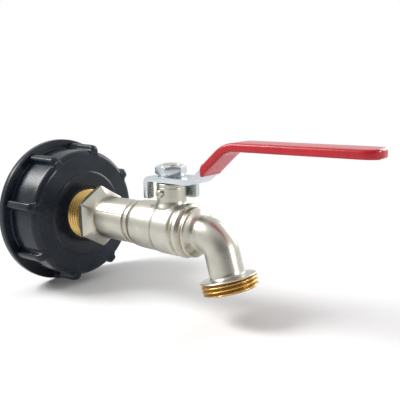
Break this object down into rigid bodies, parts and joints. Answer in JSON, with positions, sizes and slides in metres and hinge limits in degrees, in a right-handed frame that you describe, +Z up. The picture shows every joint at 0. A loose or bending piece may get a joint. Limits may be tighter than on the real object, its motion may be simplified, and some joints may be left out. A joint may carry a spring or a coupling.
{
  "type": "ibc tank valve",
  "caption": "Quarter-turn ball tap with a red lever and a downward hose-thread spout, screwed into a black ribbed cap for a tank outlet.",
  "frame": {"origin": "centre of the cap's open mouth, where the tank's outlet enters, on the waterway axis", "axes": "+X along the waterway, from the tank towards the spout; +Z up along the stem, towards the lever"},
  "size_m": [0.1881, 0.078, 0.0817],
  "materials": {
    "cap_plastic": "moulded black, glossy",
    "seal_rubber": "moulded black rubber",
    "nickel_plated_brass": "blasted brass with satin nickel plating, threads left as bare turned brass",
    "bare_brass": "turned brass",
    "ball_plating": "polished brass ball with chrome plating",
    "seat_plastic": "white PTFE",
    "zinc_plated_steel": "pressed steel, bright zinc plating",
    "red_vinyl": "dipped soft vinyl, glossy"
  },
  "bodies": {
    "tap": {"tank_cap": "cap_plastic", "cap_gasket": "seal_rubber", "bore_seal": "seal_rubber", "inlet_fitting": "nickel_plated_brass", "joint_ring": "seal_rubber", "valve_body": "nickel_plated_brass", "inlet_seat": "seat_plastic", "outlet_seat": "seat_plastic", "inlet_seat_ring": "seal_rubber", "outlet_seat_ring": "seal_rubber", "thrust_washer": "seat_plastic", "stop_pin": "bare_brass"},
    "lever_and_ball": {"stem": "bare_brass", "lower_stem_ring": "seal_rubber", "upper_stem_ring": "seal_rubber", "ball": "ball_plating", "lever_plate": "zinc_plated_steel", "lever_sleeve": "red_vinyl", "lock_washer": "zinc_plated_steel", "handle_nut": "zinc_plated_steel"}
  },
  "joints": [
    {"name": "lever_turn", "type": "hinge", "parent": "tap", "child": "lever_and_ball", "pos_m": [0.085, 0, 0.0226], "axis": [0, 0, 1], "range_deg": [-90, 0]}
  ]
}
